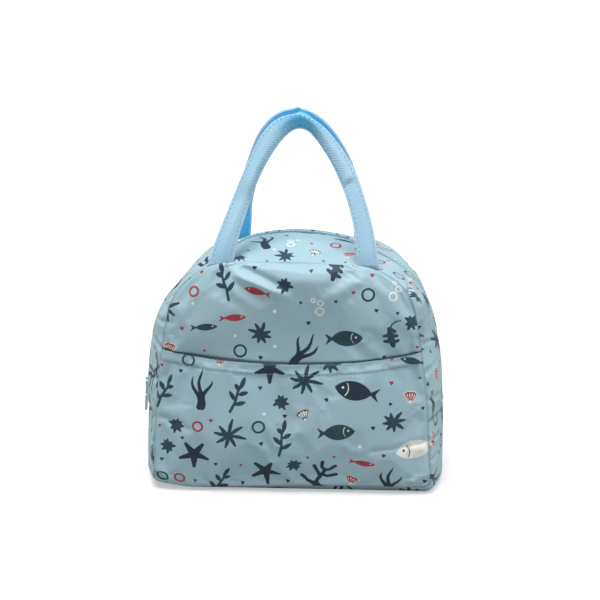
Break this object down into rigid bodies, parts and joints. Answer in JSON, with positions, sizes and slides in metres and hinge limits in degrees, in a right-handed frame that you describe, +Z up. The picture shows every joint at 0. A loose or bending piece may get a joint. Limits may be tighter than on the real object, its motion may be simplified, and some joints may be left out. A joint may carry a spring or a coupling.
{
  "type": "insulated lunch bag",
  "caption": "Soft insulated lunch bag with an arched zip mouth, foil lining, front slip pocket and a pair of webbing carry handles.",
  "frame": {"origin": "centre of the base on the ground", "axes": "+Z up, front panel and slip pocket face -Y, +X to the right seen from the front"},
  "size_m": [0.2334, 0.1299, 0.2755],
  "materials": {
    "printed_cloth": "matt coated plain weave with a small sea-life print",
    "webbing": "herringbone woven tape",
    "foam": "matt closed-cell foam",
    "foil_lining": "crinkled foil film",
    "binding_tape": "ribbed tape",
    "zip_tape": "knitted tape",
    "zip_teeth": "satin coil",
    "zip_metal": "satin enamel"
  },
  "bodies": {
    "tub": {"lower_gusset": "printed_cloth", "lower_gusset_foam": "foam", "lower_gusset_lining": "foil_lining", "front_panel_lower": "printed_cloth", "front_foam_lower": "foam", "front_lining_lower": "foil_lining", "front_seam_binding_lower": "binding_tape", "front_pocket_lower": "printed_cloth", "back_panel_lower": "printed_cloth", "back_panel_upper": "printed_cloth", "back_foam_lower": "foam", "back_foam_upper": "foam", "back_lining_lower": "foil_lining", "back_lining_upper": "foil_lining", "back_seam_binding_lower": "binding_tape", "back_seam_binding_upper": "binding_tape", "back_zip_strip": "printed_cloth", "back_zip_strip_foam": "foam", "back_zip_strip_lining": "foil_lining", "back_zip_tape": "zip_tape", "back_zip_teeth": "zip_teeth", "back_handle_tails": "webbing", "zip_end_stops": "zip_metal"},
    "front_half": {"front_panel_upper": "printed_cloth", "front_foam_upper": "foam", "front_lining_upper": "foil_lining", "front_seam_binding_upper": "binding_tape", "front_zip_strip": "printed_cloth", "front_zip_strip_foam": "foam", "front_zip_strip_lining": "foil_lining", "front_zip_tape": "zip_tape", "front_zip_teeth": "zip_teeth", "front_pocket_upper": "printed_cloth", "front_handle_tails": "webbing"},
    "front_handle": {"front_handle": "webbing"},
    "back_handle": {"back_handle": "webbing"},
    "slider": {"zip_slider": "zip_metal"},
    "pull": {"zip_pull": "zip_metal"}
  },
  "joints": [
    {"name": "mouth_open", "type": "hinge", "parent": "tub", "child": "front_half", "pos_m": [0, -0.065, 0.056], "axis": [1, 0, 0], "range_deg": [0, 32], "stiffness_Nm_per_rad": 0.02},
    {"name": "front_handle_swing", "type": "hinge", "parent": "front_half", "child": "front_handle", "pos_m": [0, -0.0642, 0.1746], "axis": [1, 0, 0], "range_deg": [-4, 185], "stiffness_Nm_per_rad": 0.004},
    {"name": "back_handle_swing", "type": "hinge", "parent": "tub", "child": "back_handle", "pos_m": [0, 0.0642, 0.1746], "axis": [-1, 0, 0], "range_deg": [-4, 185], "stiffness_Nm_per_rad": 0.004},
    {"name": "slider_travel", "type": "hinge", "parent": "tub", "child": "slider", "pos_m": [0.358, 0, 0.035], "axis": [0, 1, 0], "range_deg": [0, 4.8]},
    {"name": "pull_swing", "type": "hinge", "parent": "slider", "child": "pull", "pos_m": [-0.11685, 0, 0.06654], "axis": [0, 1, 0], "range_deg": [0, 150]}
  ]
}
